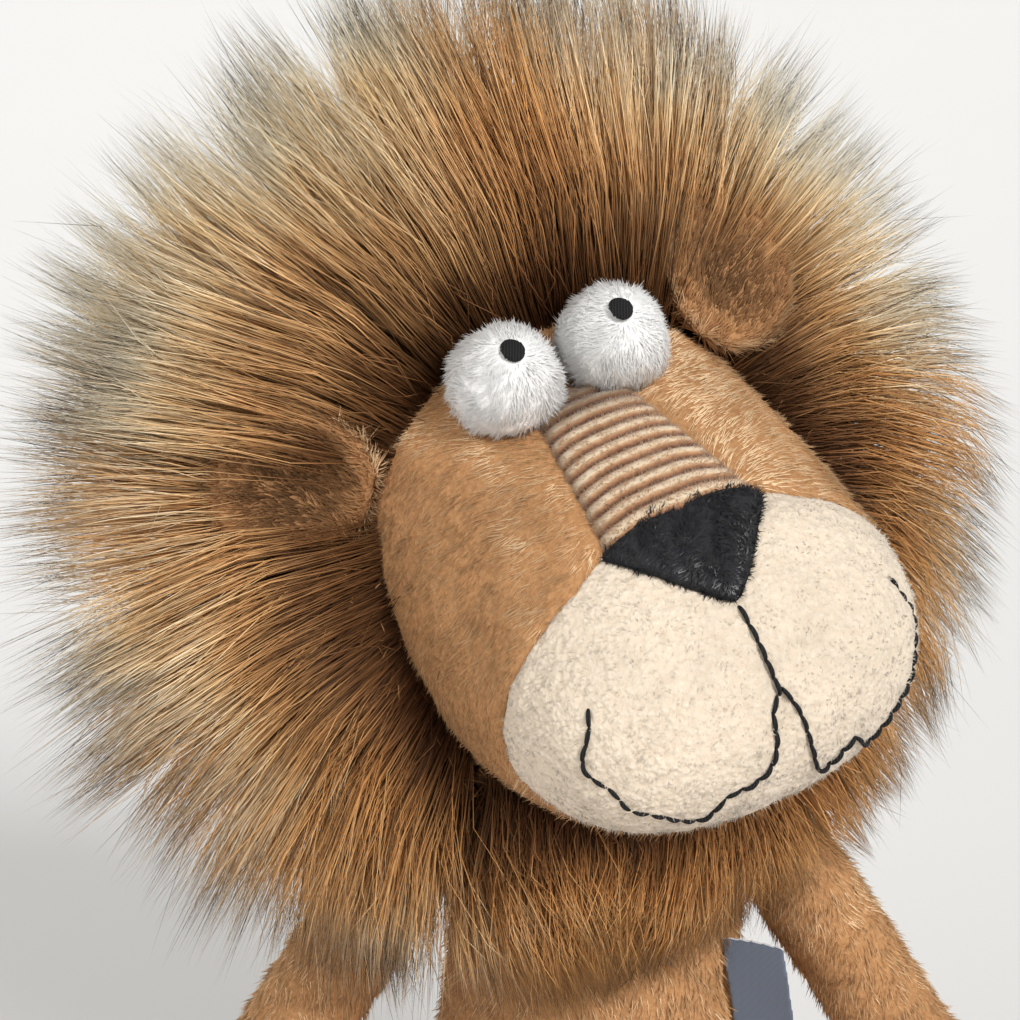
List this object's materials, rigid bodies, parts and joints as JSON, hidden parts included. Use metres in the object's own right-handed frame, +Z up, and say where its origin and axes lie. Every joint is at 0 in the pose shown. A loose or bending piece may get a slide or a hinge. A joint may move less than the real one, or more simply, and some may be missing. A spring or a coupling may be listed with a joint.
{
  "type": "plush lion",
  "caption": "Seated plush lion with a huge long-haired mane, round white eyes, ribbed cord bridge, black nose and cream muzzle; the head turns and nods and the limbs swing.",
  "frame": {"origin": "centre of the flat seat panel that the lion rests on", "axes": "+Z up, -Y the way the torso faces, +X the lion's own left"},
  "size_m": [0.3184, 0.3352, 0.4015],
  "materials": {
    "tan_plush": "short pile plush",
    "mane_fur": "long pile fur",
    "cream_terry": "looped terry",
    "ribbed_cord": "wide corduroy",
    "black_velour": "velour",
    "white_plush": "fluffy plush",
    "black_thread": "embroidery thread",
    "wadding": "polyester wadding",
    "pellet_bag": "woven bag of pellets",
    "grey_ribbon": "satin ribbon",
    "white_ribbon": "woven ribbon"
  },
  "bodies": {
    "torso": {"torso_front": "tan_plush", "torso_back": "tan_plush", "seat_panel": "tan_plush", "torso_filling": "wadding", "pellet_bag": "pellet_bag", "label_front": "grey_ribbon", "label_back": "white_ribbon"},
    "neck": {"neck_cover": "tan_plush", "neck_filling": "wadding"},
    "head": {"head_cover_left": "tan_plush", "head_cover_right": "tan_plush", "head_filling": "wadding", "nose_bridge": "ribbed_cord", "nose": "black_velour", "muzzle_left": "cream_terry", "muzzle_right": "cream_terry", "centre_thread": "black_thread", "mouth_thread_left": "black_thread", "mouth_thread_right": "black_thread", "eye_left": "white_plush", "eye_right": "white_plush", "eye_filling_left": "wadding", "eye_filling_right": "wadding", "pupil_left": "black_thread", "pupil_right": "black_thread", "ear_front_left": "tan_plush", "ear_front_right": "tan_plush", "ear_back_left": "tan_plush", "ear_back_right": "tan_plush", "mane_crown_left": "mane_fur", "mane_crown_right": "mane_fur", "mane_side_left": "mane_fur", "mane_side_right": "mane_fur", "mane_bib": "mane_fur", "mane_nape": "mane_fur"},
    "arm_left": {"arm_left_cover": "tan_plush", "arm_left_filling": "wadding"},
    "arm_right": {"arm_right_cover": "tan_plush", "arm_right_filling": "wadding"},
    "leg_left": {"leg_left_cover": "tan_plush", "leg_left_filling": "wadding", "sole_left": "cream_terry"},
    "leg_right": {"leg_right_cover": "tan_plush", "leg_right_filling": "wadding", "sole_right": "cream_terry"},
    "tail": {"tail_cover": "tan_plush", "tail_filling": "wadding", "tail_tuft": "mane_fur"}
  },
  "joints": [
    {"name": "head_turn", "type": "hinge", "parent": "torso", "child": "neck", "pos_m": [0.004, 0, 0.178], "axis": [0, 0, 1], "range_deg": [-15, 15], "stiffness_Nm_per_rad": 6},
    {"name": "head_nod", "type": "hinge", "parent": "neck", "child": "head", "pos_m": [0.004, 0, 0.178], "axis": [0.8755, 0.3898, 0.2857], "range_deg": [-10, 12], "stiffness_Nm_per_rad": 6},
    {"name": "shoulder_left", "type": "hinge", "parent": "torso", "child": "arm_left", "pos_m": [0.05, 0, 0.148], "axis": [1, 0, 0], "range_deg": [-60, 25], "stiffness_Nm_per_rad": 0.5},
    {"name": "shoulder_right", "type": "hinge", "parent": "torso", "child": "arm_right", "pos_m": [-0.05, 0, 0.148], "axis": [1, 0, 0], "range_deg": [-60, 25], "stiffness_Nm_per_rad": 0.5},
    {"name": "hip_left", "type": "hinge", "parent": "torso", "child": "leg_left", "pos_m": [0.036, -0.04, 0.0195], "axis": [1, 0, 0], "range_deg": [-30, 20], "stiffness_Nm_per_rad": 0.8},
    {"name": "hip_right", "type": "hinge", "parent": "torso", "child": "leg_right", "pos_m": [-0.036, -0.04, 0.0195], "axis": [1, 0, 0], "range_deg": [-30, 20], "stiffness_Nm_per_rad": 0.8},
    {"name": "tail_swing", "type": "hinge", "parent": "torso", "child": "tail", "pos_m": [0, 0.047, 0.012], "axis": [1, 0, 0], "range_deg": [-15, 30], "stiffness_Nm_per_rad": 0.2}
  ]
}
